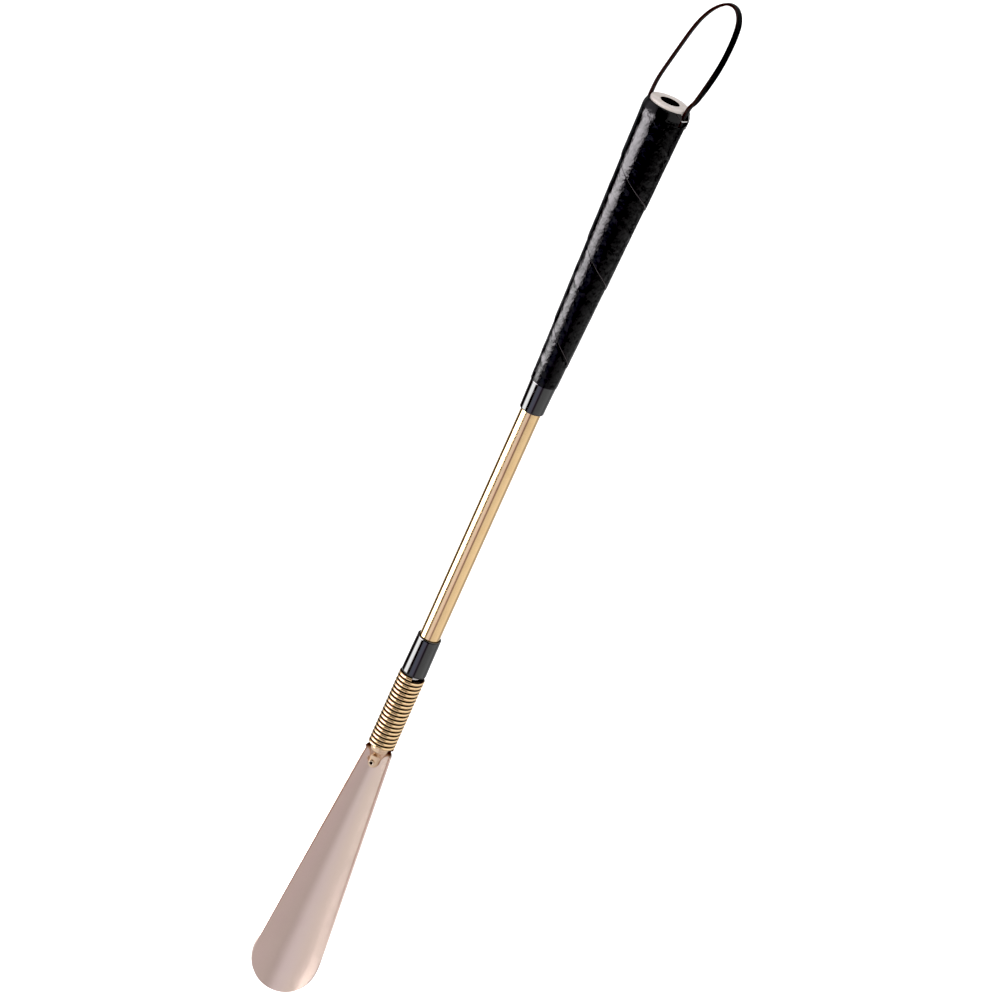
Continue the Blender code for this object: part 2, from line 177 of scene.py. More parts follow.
# the table that the handle and shaft lie on; the spring and blade are past its edge
TABLE_EDGE_Y, TABLE_HEIGHT = world_y(BEND_STATIONS[0]) + 15 * MM, 0.25
FLOOR_SPAN, FLOOR_WHITE = 12.0, 0.86

# light: a key, and the sky's radiance around the shaft by angle from overhead, in degrees,
# negative on the left
KEY_STRENGTH, KEY_ANGLE = 4.2, radians(8)
OVER_SHAFT = [
    (-180, 0.9), (-146, 0.7), (-126, (0.03, 0.01, 0.01)), (-108, (0.03, 0.01, 0.01)),
    (-98, 1.0), (-88, 10), (-60, 10), (-53, (0.06, 0.03, 0.02)), (-38, (0.06, 0.03, 0.02)),
    (-31, (0.9, 0.9, 1.0)), (-20, (1.05, 1.15, 1.5)), (2, (1.0, 0.9, 1.15)),
    (8, (0.3, 0.24, 0.3)), (15, (0.3, 0.24, 0.3)), (27, 0.98), (97, 1.15), (114, 0.5),
    (150, 0.8), (180, 0.9)]
OVER_BLADE = [
    (-180, 0.6), (-100, 0.86), (-40, 0.9), (-5, (0.84, 0.84, 0.9)), (20, (0.62, 0.6, 0.62)),
    (60, (0.66, 0.62, 0.66)), (110, (0.7, 0.66, 0.66)), (180, 0.6)]
OVER_HANDLE = [
    (-180, 0.3), (-106, 0.05), (-100, 1.0), (-92, (18, 17, 18)), (-46, (18, 17, 18)),
    (-40, 0.03), (25, 0.03), (60, 0.25), (90, 0.35), (110, 0.1), (180, 0.2)]
BEHIND_HANDLE = [
    (-180, 0.3), (-118, 0.3), (-100, (1.3, 1.25, 1.35)), (-45, (1.3, 1.25, 1.35)),
    (-34, (0.06, 0.04, 0.03)), (5, (0.06, 0.04, 0.03)), (25, 1.25), (120, 1.25), (180, 0.5)]
OFF_THE_END = [
    (-180, 0.7), (-90, 0.9), (0, 1.1), (40, 1.3), (110, 1.3), (150, 0.7), (180, 0.7)]
# each zone takes over from the one before between two values of the direction's y
SKY_ZONES = [
    (OVER_SHAFT, -0.475, -0.452), (OVER_HANDLE, -0.38, -0.34), (BEHIND_HANDLE, -0.26, -0.18),
    (OFF_THE_END, 0.45, 0.6)]


# ---------------------------------------------------------------- stage

def make_camera():
    up = Vector((0, cos(LEAN), -sin(LEAN)))
    right = Vector((1, 0, 0))
    back = Vector((0, sin(LEAN), cos(LEAN)))
    tilted_up = cos(ROLL) * up - sin(ROLL) * right
    tilted_right = cos(ROLL) * right + sin(ROLL) * up
    camera = bpy.data.objects.new("camera", bpy.data.cameras.new("camera"))
    camera.data.lens = LENS
    camera.matrix_world = Matrix.Translation(TARGET + DISTANCE * back) @ Matrix(
        (tilted_right, tilted_up, back)).transposed().to_4x4()
    bpy.context.collection.objects.link(camera)
    bpy.context.scene.camera = camera


def node(tree, kind, inputs=(), **settings):
    """Adds a node; inputs are (socket, value or output to link) pairs."""
    made = tree.nodes.new("ShaderNode" + kind)
    for name, value in settings.items():
        setattr(made, name, value)
    for socket, value in inputs:
        if isinstance(value, bpy.types.NodeSocket):
            tree.links.new(value, made.inputs[socket])
        else:
            made.inputs[socket].default_value = value
    return made


def ramp(tree, factor, stops):
    made = node(tree, "ValToRGB", [("Fac", factor)])
    band = made.color_ramp
    while len(band.elements) < len(stops):
        band.elements.new(0.5)
    for element, (place, colour) in zip(band.elements, stops):
        element.position = place
        element.color = (*colour, 1)
    return made.outputs["Color"]


def sky_bands(tree, around, stops):
    """Radiance around the shaft, from (angle, grey or colour) stops."""
    place = node(tree, "MapRange", [("Value", around), ("From Min", -pi), ("From Max", pi)])
    colours = [c if isinstance(c, tuple) else (c, c, c) for _, c in stops]
    peak = max(max(colour) for colour in colours)
    band = ramp(tree, place.outputs[0], [
        ((stop[0] + 180) / 360, tuple(c / peak for c in colour))
        for stop, colour in zip(stops, colours)])
    return node(tree, "VectorMath", [(0, band), (1, (peak, peak, peak))],
                operation="MULTIPLY").outputs[0]


def sky_fade(tree, along, start, end):
    return node(tree, "MapRange", [("Value", along), ("From Min", start), ("From Max", end)],
                interpolation_type="SMOOTHSTEP").outputs[0]


def sky_mix(tree, factor, first, second):
    mix = node(tree, "Mix", data_type="RGBA")
    tree.links.new(factor, mix.inputs["Factor"])
    tree.links.new(first, mix.inputs[6])
    tree.links.new(second, mix.inputs[7])
    return mix.outputs[2]


def make_sky():
    """Soft boxes and dark gaps that run along the shoehorn, in zones from tip to end."""
    world = bpy.data.worlds.new("studio")
    bpy.context.scene.world = world
    world.use_nodes = True
    tree = world.node_tree
    tree.nodes.clear()
    direction = node(tree, "TexCoord").outputs["Generated"]
    parts = node(tree, "SeparateXYZ", [(0, direction)]).outputs
    around = node(tree, "Math", [(0, parts["X"]), (1, parts["Z"])],
                  operation="ARCTAN2").outputs[0]
    glow = sky_bands(tree, around, OVER_BLADE)
    for stops, fade_start, fade_end in SKY_ZONES:
        fade = sky_fade(tree, parts["Y"], fade_start, fade_end)
        glow = sky_mix(tree, fade, glow, sky_bands(tree, around, stops))
    background = node(tree, "Background", [("Color", glow), ("Strength", 1.0)])
    node(tree, "OutputWorld", [("Surface", background.outputs[0])])


def make_key():
    """A soft sun from the camera's side, without shadows or reflections of its own."""
    lamp = bpy.data.objects.new("key", bpy.data.lights.new("key", "SUN"))
    lamp.data.energy, lamp.data.angle = KEY_STRENGTH, KEY_ANGLE
    lamp.matrix_world = bpy.context.scene.camera.matrix_world
    lamp.data.use_shadow = False
    lamp.visible_glossy = False
    bpy.context.collection.objects.link(lamp)


def make_floor():
    """White table whose edge the blade lies beyond, so that it can bend down, above a white
    floor."""
    mesh = bpy.data.meshes.new("floor")
    rows = [(-FLOOR_SPAN, -TABLE_HEIGHT), (TABLE_EDGE_Y, -TABLE_HEIGHT), (TABLE_EDGE_Y, 0),
            (FLOOR_SPAN, 0)]
    mesh.from_pydata([(x, y, z) for y, z in rows for x in (-FLOOR_SPAN, FLOOR_SPAN)],
                     [], [(i, i + 1, i + 3, i + 2) for i in (0, 2, 4)])
    floor = bpy.data.objects.new("floor", mesh)
    paint = bpy.data.materials.new("floor_white")
    paint.use_nodes = True
    shader = paint.node_tree.nodes["Principled BSDF"]
    shader.inputs["Base Color"].default_value = (FLOOR_WHITE, FLOOR_WHITE, FLOOR_WHITE, 1)
    shader.inputs["Roughness"].default_value = 0.9
    shader.inputs["Specular IOR Level"].default_value = 0.0
    mesh.materials.append(paint)
    floor.visible_glossy = False
    bpy.context.collection.objects.link(floor)


def set_display():
    display = bpy.context.scene.view_settings
    display.view_transform = "Standard"
    display.use_curve_mapping = True
    display.curve_mapping.black_level = (BLACK_POINT, BLACK_POINT, BLACK_POINT)
    display.curve_mapping.update()


# ---------------------------------------------------------------- materials

class Finish:
    """A Principled material whose colour, roughness and bump are built up step by step."""

    def __init__(self, name, colour, roughness, metallic=0.0, specular=0.5):
        self.mat = bpy.data.materials.new(name)
        self.mat.use_nodes = True
        self.tree = self.mat.node_tree
        self.shader = self.tree.nodes["Principled BSDF"]
        self.place = node(self.tree, "TexCoord").outputs["Object"]
        self.colour = node(self.tree, "RGB").outputs[0]
        self.colour.default_value = (*colour, 1)
        self.roughness = roughness
        self.normal = None
        self.shader.inputs["Metallic"].default_value = metallic
        self.shader.inputs["Specular IOR Level"].default_value = specular

    def scaled(self, per_metre, stretch):
        """Object coordinates with so many units to the metre along each direction."""
        return node(self.tree, "Mapping", [
            ("Vector", self.place), ("Scale", [per_metre * s for s in stretch])]).outputs[0]

    def noise(self, per_metre, detail=4.0, stretch=(1, 1, 1)):
        """Noise from 0 to 1."""
        return node(self.tree, "TexNoise", [
            ("Vector", self.scaled(per_metre, stretch)), ("Scale", 1.0),
            ("Detail", detail)]).outputs["Fac"]

    def cells(self, per_metre):
        """Distance to the borders of irregular cells."""
        return node(self.tree, "TexVoronoi", [
            ("Vector", self.scaled(per_metre, (1, 1, 1))), ("Scale", 1.0)],
            feature="DISTANCE_TO_EDGE").outputs["Distance"]

    def attribute(self, name):
        return node(self.tree, "Attribute", attribute_name=name).outputs["Fac"]

    def spread(self, factor, low, high, new_low, new_high):
        return node(self.tree, "MapRange", [
            ("Value", factor), ("From Min", low), ("From Max", high),
            ("To Min", new_low), ("To Max", new_high)]).outputs[0]

    def tint(self, factor, colour):
        """Mixes another colour in, by a factor from 0 to 1."""
        mix = node(self.tree, "Mix", data_type="RGBA")
        self.tree.links.new(factor, mix.inputs["Factor"])
        self.tree.links.new(self.colour, mix.inputs["A"])
        mix.inputs["B"].default_value = (*colour, 1)
        self.colour = mix.outputs["Result"]

    def vary_roughness(self, factor, amount):
        """Raises or lowers the roughness by up to the amount."""
        shift = self.spread(factor, 0.3, 0.7, -amount, amount)
        self.roughness = node(self.tree, "Math", [(0, self.roughness), (1, shift)],
                              operation="ADD").outputs[0]

    def bump(self, height, depth, distance):
        inputs = [("Height", height), ("Strength", depth), ("Distance", distance)]
        if self.normal is not None:
            inputs.append(("Normal", self.normal))
        self.normal = node(self.tree, "Bump", inputs).outputs[0]

    def finish(self):
        self.tree.links.new(self.colour, self.shader.inputs["Base Color"])
        self.tree.links.new(self.roughness, self.shader.inputs["Roughness"])
        self.tree.links.new(self.normal, self.shader.inputs["Normal"])
        return self.mat


def blade_metal():
    """Satin nickel with a rose cast, faint brushing along it, a bright rim and a painted dark
    reflection on the ears.
    """
    look = Finish("blade_satin", (0.69, 0.545, 0.48), 0.16, metallic=1.0)
    look.tint(look.spread(look.noise(22, 2), 0.35, 0.65, 0.0, 0.5), (0.70, 0.57, 0.48))
    look.tint(look.spread(look.noise(45, 2), 0.55, 0.75, 0.0, 0.3), (0.66, 0.50, 0.45))
    look.tint(look.attribute("rim"), (0.74, 0.60, 0.54))
    # painted reflection: the ears darken towards the blade's end
    look.tint(look.spread(look.attribute("ear"), 0.2, 0.7, 0.0, 1.0), (0.05, 0.02, 0.01))
    look.vary_roughness(look.noise(60, 3), 0.025)
    look.vary_roughness(look.noise(700, 3, (6, 0.25, 6)), 0.02)
    look.bump(look.noise(900, 3, (6, 0.15, 6)), 0.03, 0.01 * MM)
    return look.finish()


def brass(name, colour, roughness, smears):
    """Polished brass with handling smears and hairlines along it."""
    look = Finish(name, colour, roughness, metallic=1.0)
    look.tint(look.spread(look.noise(120, 4), 0.5, 0.8, 0.0, 0.4),
              (colour[0] * 0.9, colour[1] * 0.82, colour[2] * 0.72))
    look.vary_roughness(look.noise(140, 5), smears)
    look.vary_roughness(look.noise(500, 2, (6, 0.1, 6)), smears / 2)
    look.bump(look.noise(1200, 2, (5, 0.06, 5)), 0.05, 0.01 * MM)
    return look.finish()


def spring_brass():
    """Brass-plated wire, with painted shade where the turns meet."""
    look = Finish("spring_brass", (0.88, 0.63, 0.36), 0.13, metallic=1.0)
    look.tint(look.spread(look.noise(300, 4), 0.5, 0.8, 0.0, 0.4), (0.78, 0.50, 0.25))
    # painted shade on the wire's faces towards the neighbouring turns
    look.tint(look.attribute("groove"), (0.016, 0.005, 0.002))
    look.vary_roughness(look.noise(600, 4), 0.04)
    look.bump(look.noise(4000, 2), 0.06, 0.01 * MM)
    return look.finish()


def plated_steel(name, colour=(0.62, 0.61, 0.60)):
    """Plating with small worn patches."""
    look = Finish(name, colour, 0.2, metallic=1.0)
    look.tint(look.spread(look.noise(900, 3), 0.5, 0.8, 0.0, 0.5), (0.4, 0.38, 0.36))
    look.vary_roughness(look.noise(1500, 3), 0.06)
    look.bump(look.noise(3000, 2), 0.1, 0.02 * MM)
    return look.finish()


def gloss_plastic():
    """Glossy black sleeve with faint moulding ripple and fine rubbing marks."""
    look = Finish("black_sleeve", (0.001, 0.001, 0.001), 0.07, specular=0.85)
    look.tint(look.spread(look.noise(300, 4), 0.6, 0.8, 0.0, 0.5), (0.003, 0.0025, 0.0025))
    look.vary_roughness(look.noise(220, 5), 0.04)
    look.vary_roughness(look.noise(900, 2, (5, 0.3, 5)), 0.03)
    look.bump(look.noise(260, 2), 0.08, 0.1 * MM)
    look.bump(look.noise(2600, 2, (1, 0.2, 1)), 0.04, 0.02 * MM)
    return look.finish()


def wrap_leather():
    """Shiny black leather strip: fine pebbled grain, dull patches and a painted grey highlight
    along its edges.
    """
    look = Finish("wrap_leather", (0.0006, 0.0005, 0.0006), 0.17, specular=0.3)
    look.tint(look.spread(look.noise(160, 4), 0.55, 0.8, 0.0, 0.6), (0.0016, 0.0013, 0.0013))
    # painted highlight: a grey line along the strip's edges
    look.tint(look.attribute("edge"), (0.045, 0.04, 0.04))
    look.vary_roughness(look.noise(110, 5), 0.05)
    look.bump(look.spread(look.cells(1500), 0.0, 0.25, 0.0, 1.0), 0.12, 0.05 * MM)
    look.bump(look.noise(3800, 3), 0.12, 0.03 * MM)
    look.bump(look.noise(420, 3, (1, 0.6, 1)), 1.0, 0.3 * MM)
    look.bump(look.noise(150, 3, (1, 0.5, 1)), 0.3, 0.2 * MM)
    return look.finish()


def leather_and_bore_shade(name, colour):
    """Matt dark leather with a fine grain and paler rubbed patches; also the painted shade
    inside the eyelet's and the core's bores.
    """
    look = Finish(name, colour, 0.45, specular=0.15)
    look.tint(look.spread(look.noise(400, 4), 0.5, 0.8, 0.0, 0.7),
              tuple(c * 1.6 + 0.001 for c in colour))
    look.vary_roughness(look.noise(500, 4), 0.08)
    look.bump(look.cells(1800), 0.2, 0.05 * MM)
    look.bump(look.noise(1500, 3, (1, 1, 3)), 0.2, 0.05 * MM)
    return look.finish()


def core_board():
    """Pale pressed board: soft mottling and tiny stained pits."""
    look = Finish("core_board", (0.34, 0.312, 0.298), 0.62, specular=0.35)
    look.tint(look.spread(look.noise(350, 5), 0.4, 0.7, 0.0, 0.6), (0.30, 0.252, 0.212))
    look.tint(look.spread(look.noise(1400, 3), 0.55, 0.75, 0.0, 0.35), (0.22, 0.17, 0.125))
    look.vary_roughness(look.noise(600, 3), 0.08)
    look.bump(look.noise(1500, 4), 0.35, 0.1 * MM)
    return look.finish()


# ---------------------------------------------------------------- mesh making

def signed_volume(mesh):
    mesh.calc_loop_triangles()
    corners = [[mesh.vertices[i].co for i in tri.vertices] for tri in mesh.loop_triangles]
    return sum(a.dot(b.cross(c)) for a, b, c in corners) / 6


def finished(name, verts, faces, mats, sharp):
    """An object with its faces turned outwards and its sharp edges marked."""
    mesh = bpy.data.meshes.new(name)
    mesh.from_pydata(verts, [], faces)
    if signed_volume(mesh) < 0:
        mesh.flip_normals()
    mesh.shade_smooth()
    mesh.set_sharp_from_angle(angle=radians(sharp))
    for mat in mats:
        mesh.materials.append(mat)
    obj = bpy.data.objects.new(name, mesh)
    bpy.context.collection.objects.link(obj)
    return obj


def skin(name, rings, mats, closed=False, sharp=35):
    """Joins rings of equally many points; the ends get ladders of faces."""
    count = len(rings[0])
    verts = [point for ring in rings for point in ring]
    faces = []
    for i in range(len(rings) if closed else len(rings) - 1):
        a, b = i * count, (i + 1) % len(rings) * count
        faces += [(a + j, a + (j + 1) % count, b + (j + 1) % count, b + j)
                  for j in range(count)]
    if not closed:
        last = (len(rings) - 1) * count
        for j in range(count // 2 - 1):
            faces.append((j, count - 1 - j, count - 2 - j, j + 1))
            faces.append((last + j, last + j + 1, last + count - 2 - j, last + count - 1 - j))
    return finished(name, verts, faces, mats, sharp)


def circle(radius, height, sides=72):
    return [(radius * cos(2 * pi * i / sides), radius * sin(2 * pi * i / sides), height)
            for i in range(sides)]


def rounded(profile, radius, steps=4):
    """Rounds every corner of a closed profile."""
    points = []
    befores, afters = profile[-1:] + profile[:-1], profile[1:] + profile[:1]
    for before, corner, after in zip(befores, profile, afters):
        here = Vector(corner)
        back, ahead = Vector(before) - here, Vector(after) - here
        reach = min(radius, back.length / 2.2, ahead.length / 2.2)
        start, end = here + reach * back.normalized(), here + reach * ahead.normalized()
        for i in range(steps + 1):
            t = i / steps
            points.append(tuple((1 - t) ** 2 * start + 2 * t * (1 - t) * here + t * t * end))
    return points


def braced(profile, reach=0.8 * MM):
    """Adds a point near each end of a profile's long lines, so that they shade straight."""
    points = []
    for here, there in zip(profile, profile[1:] + profile[:1]):
        points.append(here)
        start, end = Vector(here), Vector(there)
        if (end - start).length > 4 * reach:
            step = reach * (end - start).normalized()
            points += [tuple(start + step), tuple(end - step)]
    return points


def turned(name, profile, mats, rounding=0.3 * MM):
    """Turns a closed profile of (radius, station) corners about the shaft."""
    outline = braced(rounded(profile, rounding))
    obj = skin(name, [circle(r, z) for r, z in outline], mats, closed=True)
    obj.data.transform(ON_SHAFT)
    return obj


def swept(name, path, section, across, mats):
    """Sweeps a section along a path; across(i) is the way its first axis points."""
    rings = []
    for i, point in enumerate(path):
        along = (path[min(i + 1, len(path) - 1)] - path[max(i - 1, 0)]).normalized()
        side = across(i)
        side = (side - side.dot(along) * along).normalized()
        out = along.cross(side)
        rings.append([point + u * side + v * out for u, v in section])
    return skin(name, rings, mats)


def apply_modifiers(obj):
    bpy.context.view_layer.update()
    evaluated = obj.evaluated_get(bpy.context.evaluated_depsgraph_get())
    made = bpy.data.meshes.new_from_object(evaluated)
    obj.modifiers.clear()
    obj.data = made


def cut_away(obj, rings, place):
    """Cuts the solid between the rings, set at a place, out of a closed mesh."""
    tool = skin("cutter", rings, [obj.data.materials[0]])
    tool.data.transform(place)
    modifier = obj.modifiers.new("cut", "BOOLEAN")
    modifier.operation, modifier.solver, modifier.object = "DIFFERENCE", "EXACT", tool
    apply_modifiers(obj)
    bpy.data.objects.remove(tool)


def stand(obj, body, nodes):
    """The piece rides on a body and stands for CAD nodes, which are hidden."""
    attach(obj, body)
    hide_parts(*nodes)


def facing_out(angle, station, lean=0.0):
    """Place whose Z points away from the shaft at an angle, with Y along the handle."""
    turn = Matrix.Rotation(pi / 2 - angle, 4, "Y") @ Matrix.Rotation(lean, 4, "X")
    return Matrix.Translation(on_axis(station)) @ turn


# ---------------------------------------------------------------- blade and neck

def back_height(station):
    """Height of the blade's lowest line, which rises to the neck and a little to the tip."""
    neck_lift = AXIS_HEIGHT - NECK_RADIUS - SEAT_GAP - SHEET
    if station > REST_STATION:
        return neck_lift * ((station - REST_STATION) / (BLADE_END - REST_STATION)) ** 2
    return TIP_LIFT * ((REST_STATION - station) / REST_STATION) ** 2


def blade_outline(station):
    """Half width and half arc angle of the trough at a station."""
    line_start = TIP_LENGTH * (1 + TAPER * TIP_LENGTH / BLADE_HALF_WIDTH)
    share = max(0.0, (station - line_start) / (BLADE_END - line_start))
    arc_angle = TIP_ANGLE + (EAR_ANGLE - TIP_ANGLE) * share
    if station > line_start:
        return BLADE_HALF_WIDTH - TAPER * (station - line_start), arc_angle
    reach = 1 - station / TIP_LENGTH
    half_width = BLADE_HALF_WIDTH * sqrt(1 - reach * reach)
    return half_width, asin(half_width / BLADE_HALF_WIDTH * sin(TIP_ANGLE))


def blade_sheet():
    """The blade's upper surface, with its rim and the painted dark reflection on its ears
    marked.
    """
    tip = [TIP_LENGTH * (1 - cos(radians(3 + 89 * (i / TIP_ROWS) ** 1.2)))
           for i in range(TIP_ROWS + 1)]
    straight_end = BLADE_END - EAR_RADIUS
    straight = [tip[-1] + (straight_end - tip[-1]) * i / STRAIGHT_ROWS
                for i in range(1, STRAIGHT_ROWS + 1)]
    ears = [straight_end + EAR_RADIUS * sin(radians(9 * i)) for i in range(1, 10)]
    stations = tip + straight + ears
    verts, rim, ear = [], [], []
    for row, station in enumerate(stations):
        half_width, angle = blade_outline(station)
        radius = half_width / sin(angle)
        into_ear = max(0.0, station - straight_end) / EAR_RADIUS
        angle -= EAR_RADIUS / radius * (1 - sqrt(1 - into_ear**2))
        centre, inner = back_height(station) + radius, radius - SHEET
        up_ear = (station - BLADE_END + EAR_REFLECTION_SPAN) / EAR_REFLECTION_SPAN
        for i in range(BLADE_COLUMNS + 1):
            share = 2 * i / BLADE_COLUMNS - 1
            a = angle * share * (1.5 - 0.5 * share * share)    # closer together at the rims
            verts.append((inner * sin(a), world_y(station), centre - inner * cos(a)))
            on_rim = i in (0, BLADE_COLUMNS) or row in (0, len(stations) - 1)
            rim.append(1.0 if on_rim else 0.0)
            ear.append(max(0.0, up_ear) if abs(share) > 0.35 else 0.0)
    width = BLADE_COLUMNS + 1
    faces = [(r * width + i, r * width + i + 1, (r + 1) * width + i + 1, (r + 1) * width + i)
             for r in range(len(stations) - 1) for i in range(BLADE_COLUMNS)]
    mesh = bpy.data.meshes.new("blade_sheet")
    mesh.from_pydata(verts, [], faces)
    for name, values in (("rim", rim), ("ear", ear)):
        mesh.attributes.new(name, "FLOAT", "POINT").data.foreach_set("value", values)
    return mesh


def make_blade():
    mesh = blade_sheet()
    mesh.shade_smooth()
    mesh.materials.append(blade_metal())
    blade = bpy.data.objects.new("blade_sheet", mesh)
    bpy.context.collection.objects.link(blade)
    thicken = blade.modifiers.new("thickness", "SOLIDIFY")
    thicken.thickness, thicken.offset = SHEET, -1.0
    soften = blade.modifiers.new("rim", "BEVEL")
    soften.width, soften.segments, soften.angle_limit = RIM_ROUNDING, 3, radians(50)
    apply_modifiers(blade)
    blade.data.shade_smooth()
    cut_away(blade, eyelet_hole(), eyelet_place())
    blade.data.set_sharp_from_angle(angle=radians(60))
    stand(blade, "blade", ["blade"])


def eyelet_hole():
    return [circle(EYELET_SHANK + EYELET_GAP, z, 32) for z in (-3 * MM, 5 * MM)]


def eyelet_place():
    """Place on the blade's underside, with Z square to the sheet."""
    slope = (back_height(EYELET_STATION + MM) - back_height(EYELET_STATION)) / MM
    foot = Vector((EYELET_X, world_y(EYELET_STATION), back_height(EYELET_STATION)))
    return Matrix.Translation(foot) @ Matrix.Rotation(slope, 4, "X")


def make_neck(mat):
    """Round tube above, pressed flatter and narrower towards the tongue's round tip."""
    round_start = TONGUE_TIP + TONGUE_ROUNDING
    stations = [NECK_TOP, NECK_ROUND + 1.5 * MM]
    stations += [NECK_ROUND + (TONGUE_FLAT - NECK_ROUND) * i / PRESSED_ROWS
                 for i in range(PRESSED_ROWS + 1)]
    stations += [round_start - TONGUE_ROUNDING * sin(radians(a)) for a in range(0, 86, 7)]
    rings = []
    for station in stations:
        pressed = min(1.0, max(0.0, (NECK_ROUND - station) / (NECK_ROUND - TONGUE_FLAT)))
        eased = pressed * pressed * (3 - 2 * pressed) * 0.5 + pressed * 0.5
        half_width = NECK_RADIUS + (TONGUE_HALF_WIDTH - NECK_RADIUS) * pressed
        half_thick = TONGUE_HALF_THICK + (NECK_RADIUS - TONGUE_HALF_THICK) * (1 - eased) ** 1.6
        into_tip = max(0.0, round_start - station) / TONGUE_ROUNDING
        half_width *= sqrt(1 - into_tip**2)
        seat = back_height(min(station, BLADE_END)) + SHEET + SEAT_GAP
        centre = AXIS_HEIGHT if station >= NECK_ROUND else seat + half_thick
        square = 1 - 0.35 * pressed        # below 1, the section's corners fill out
        ring = []
        for i in range(NECK_SIDES):
            a = 2 * pi * i / NECK_SIDES
            x = abs(cos(a)) ** square * (1 if cos(a) > 0 else -1)
            z = abs(sin(a)) ** square * (1 if sin(a) > 0 else -1)
            ring.append((half_width * x, world_y(station), centre + half_thick * z))
        rings.append(ring)
    neck = skin("neck_tongue", rings, [mat], sharp=50)
    cut_away(neck, [circle(NECK_BORE, z) for z in (NECK_ROUND, LENGTH / 3)], ON_SHAFT)
    cut_away(neck, eyelet_hole(), eyelet_place())
    neck.data.set_sharp_from_angle(angle=radians(50))
    stand(neck, "blade", ["neck_tube"])


def make_eyelet():
    """A hollow rivet with two flanges, dark inside, through the tongue and the blade."""
    under, over = -EYELET_GAP, SHEET + EYELET_PLAY + 2 * TONGUE_HALF_THICK
    bottom, top = under - FLANGE_THICK, over + FLANGE_THICK
    profile = rounded([
        (EYELET_BORE, bottom), (EYELET_FLANGE, bottom), (EYELET_FLANGE, under),
        (EYELET_SHANK, under), (EYELET_SHANK, over), (EYELET_FLANGE, over),
        (EYELET_FLANGE, top), (EYELET_BORE, top)], 0.3 * MM)
    eyelet = skin("neck_eyelet", [circle(r, z, 40) for r, z in profile], [
        plated_steel("eyelet_plating", (0.74, 0.60, 0.44)),
        leather_and_bore_shade("eyelet_shadow", (0.01, 0.006, 0.004))], closed=True)
    for polygon in eyelet.data.polygons:
        if polygon.center.xy.length < EYELET_BORE + 0.1 * MM:
            polygon.material_index = 1
    eyelet.data.transform(eyelet_place())
    stand(eyelet, "blade", ["neck_rivet"])


# ---------------------------------------------------------------- spring

def coil(name, high, low, mat):
    """The helix between two stations, as a round wire."""
    first = 2 * pi * (low - COIL_START) / COIL_PITCH
    last = 2 * pi * (high - COIL_START) / COIL_PITCH
    steps = round((last - first) / (2 * pi) * COIL_STEPS)
    round_wire = [2 * pi * k / WIRE_SIDES for k in range(WIRE_SIDES)]
    rings = []
    for i in range(steps + 1):
        turn = first + (last - first) * i / steps
        station = COIL_START + COIL_PITCH * turn / (2 * pi)
        ring = []
        for angle in round_wire:
            out = COIL_RADIUS + WIRE_RADIUS * cos(angle)
            along = station + WIRE_RADIUS * sin(angle)
            ring.append((out * cos(turn), out * sin(turn), along))
        rings.append(ring)
    obj = skin(name, rings, [mat], sharp=80)
    # marks where the painted shade between the turns goes
    groove = obj.data.attributes.new("groove", "FLOAT", "POINT")
    facing_in = [min(1.0, max(0.0, (GROOVE_UNSHADED - cos(angle)) / GROOVE_FADE))
                 for angle in round_wire]
    groove.data.foreach_set("value", facing_in * len(rings))
    obj.data.transform(ON_SHAFT)
    return obj


def make_spring(mat):
    """One helix in four pieces, parted halfway between hinges, so that each spans one hinge."""
    middles = [(a + b) / 2 for a, b in zip(BEND_STATIONS, BEND_STATIONS[1:])]
    highs, lows = [COIL_END, *middles], [*middles, COIL_START]
    replaced = [["spring_turns_1"], ["spring_turns_2"], ["spring_turns_3"],
                ["spring_turns_4", "spring_turns_5"]]
    for number, (upper, lower) in enumerate(BENDS):
        piece = coil(f"coil_{number + 1}", highs[number], lows[number], mat)
        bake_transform(piece)
        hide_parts(*replaced[number])


# ---------------------------------------------------------------- shaft

def stations_of(name):
    return [station_of(corner.y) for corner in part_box(name)]


def make_shaft(plastic):
    low, high = stations_of("shaft_tube")
    tube = turned("tube", [
        (TUBE_BORE, low), (TUBE_HIGH.x, low), (TUBE_HIGH.x, high), (TUBE_BORE, high)],
        [brass("tube_brass", (0.78, 0.55, 0.30), 0.12, 0.02)])
    stand(tube, "handle", ["shaft_tube"])
    low, high = stations_of("lower_ferrule")
    at_spring, at_tube = LOWER_SLEEVE_RADII
    lower = turned("lower_sleeve", [
        (SLEEVE_BORE, low), (at_spring, low), (at_tube, high), (SLEEVE_BORE, high)],
        [plastic], 0.4 * MM)
    stand(lower, "handle", ["lower_ferrule"])
    low, high = stations_of("upper_ferrule")
    at_tube, at_wrap = UPPER_SLEEVE_RADII
    upper = turned("upper_sleeve", [
        (SLEEVE_BORE, low), (at_tube, low), (at_wrap, SHOULDER), (SHOULDER_INNER, SHOULDER),
        (SHOULDER_INNER, high), (SLEEVE_BORE, high)], [plastic], 0.25 * MM)
    stand(upper, "handle", ["upper_ferrule"])


# ---------------------------------------------------------------- handle

def core_radius(station):
    share = (station - CORE_START) / (LENGTH - CORE_START)
    return CORE_RADII[0] + (CORE_RADII[1] - CORE_RADII[0]) * share


